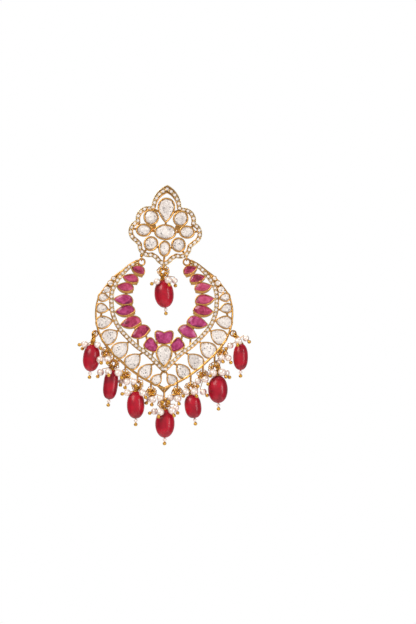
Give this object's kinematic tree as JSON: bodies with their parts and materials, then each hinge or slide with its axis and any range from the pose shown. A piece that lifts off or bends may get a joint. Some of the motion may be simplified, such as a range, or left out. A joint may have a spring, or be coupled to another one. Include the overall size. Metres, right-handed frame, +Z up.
{
  "type": "chandbali earring",
  "caption": "Drop earring: a scalloped stone-set stud with a crescent hinged below it, edged with pear stones, leaf settings and hanging red beads with pearl clusters.",
  "frame": {"origin": "middle of the stud's flat back, where the post leaves it to go through the ear", "axes": "+X to the right as seen from the front, +Y to the back, towards the ear, +Z up"},
  "size_m": [0.058, 0.0163, 0.0873],
  "materials": {
    "gold": "polished antique gold",
    "gold_wire": "bright polished gold",
    "red_enamel": "clear red stone over foil",
    "plum_enamel": "clear plum-red stone over foil",
    "pearl": "pearly",
    "red_bead": "smooth polished red",
    "pale_stone": "uncut pale stone over foil"
  },
  "bodies": {
    "stud": {"stud_frame": "gold", "ear_post": "gold", "stone_top": "pale_stone", "stone_centre": "pale_stone", "stone_bottom": "pale_stone", "stone_upper_right": "pale_stone", "stone_upper_left": "pale_stone", "stone_side_right": "pale_stone", "stone_side_left": "pale_stone", "stone_lower_right": "pale_stone", "stone_lower_left": "pale_stone", "middle_ring": "gold_wire", "middle_pins": "gold_wire", "middle_pearls": "pearl", "bead_middle": "red_bead"},
    "crescent": {"crescent_frame": "gold", "leaf_left_1": "red_enamel", "leaf_right_1": "red_enamel", "leaf_left_2": "red_enamel", "leaf_right_2": "red_enamel", "leaf_left_3": "red_enamel", "leaf_right_3": "red_enamel", "leaf_left_4": "red_enamel", "leaf_right_4": "red_enamel", "leaf_left_5": "red_enamel", "leaf_right_5": "red_enamel", "leaf_left_6": "red_enamel", "leaf_right_6": "red_enamel", "leaf_left_7": "red_enamel", "leaf_right_7": "red_enamel", "petal_left": "plum_enamel", "petal_top": "plum_enamel", "petal_right": "plum_enamel", "stone_vee": "pale_stone", "outer_stones_left": "pale_stone", "outer_stones_right": "pale_stone", "round_stones": "pale_stone", "crescent_pave": "pale_stone", "drop_rings": "gold_wire", "pearls_left": "pearl", "pearls_right": "pearl", "pins_1": "gold_wire", "pins_2": "gold_wire", "pins_3": "gold_wire", "pins_4": "gold_wire", "pins_5": "gold_wire", "pins_6": "gold_wire", "pins_7": "gold_wire", "bead_1": "red_bead", "bead_2": "red_bead", "bead_3": "red_bead", "bead_4": "red_bead", "bead_5": "red_bead", "bead_6": "red_bead", "bead_7": "red_bead"}
  },
  "joints": [
    {"name": "crescent_swing", "type": "hinge", "parent": "stud", "child": "crescent", "pos_m": [-0.0004, -0.0011, -0.00907], "axis": [1, 0, 0], "range_deg": [-60, 60]}
  ]
}
